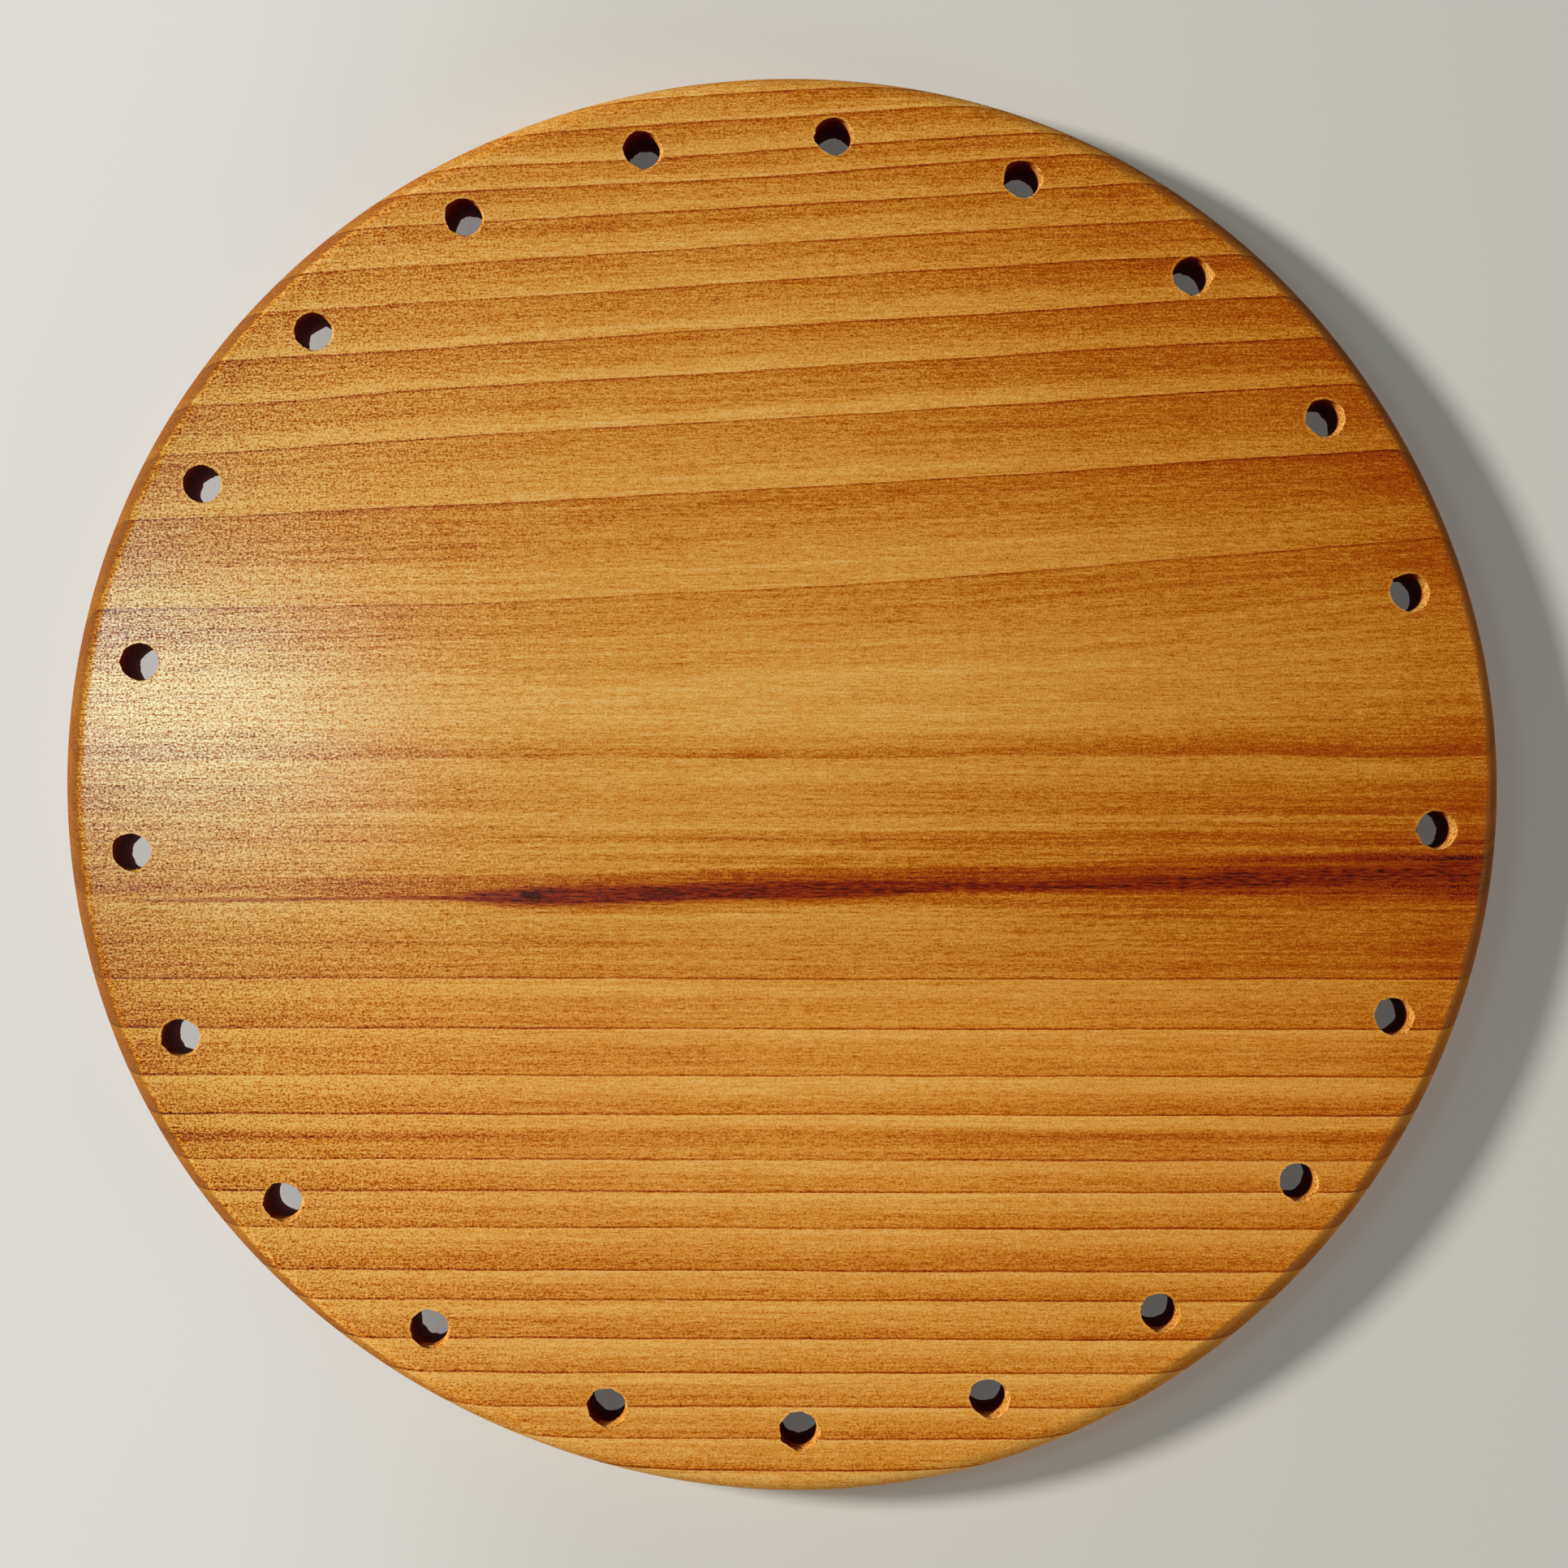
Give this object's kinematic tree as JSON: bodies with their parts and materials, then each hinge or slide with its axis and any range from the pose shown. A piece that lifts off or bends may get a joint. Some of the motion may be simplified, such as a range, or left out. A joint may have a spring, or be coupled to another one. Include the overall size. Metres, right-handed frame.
{
  "type": "drilled round wooden base board",
  "caption": "Round one-piece softwood board with a rounded top edge and a ring of through holes just inside its rim, left wider apart at one place.",
  "frame": {"origin": "middle of the underside, on the surface the board lies on", "axes": "+Z out of the top face, X along the grain, Y across the grain"},
  "size_m": [0.32, 0.3168, 0.018],
  "materials": {
    "stained_softwood": "honey-orange stain under a satin to semi-gloss clear coat"
  },
  "bodies": {
    "root": {"base_board": "stained_softwood"}
  },
  "joints": []
}
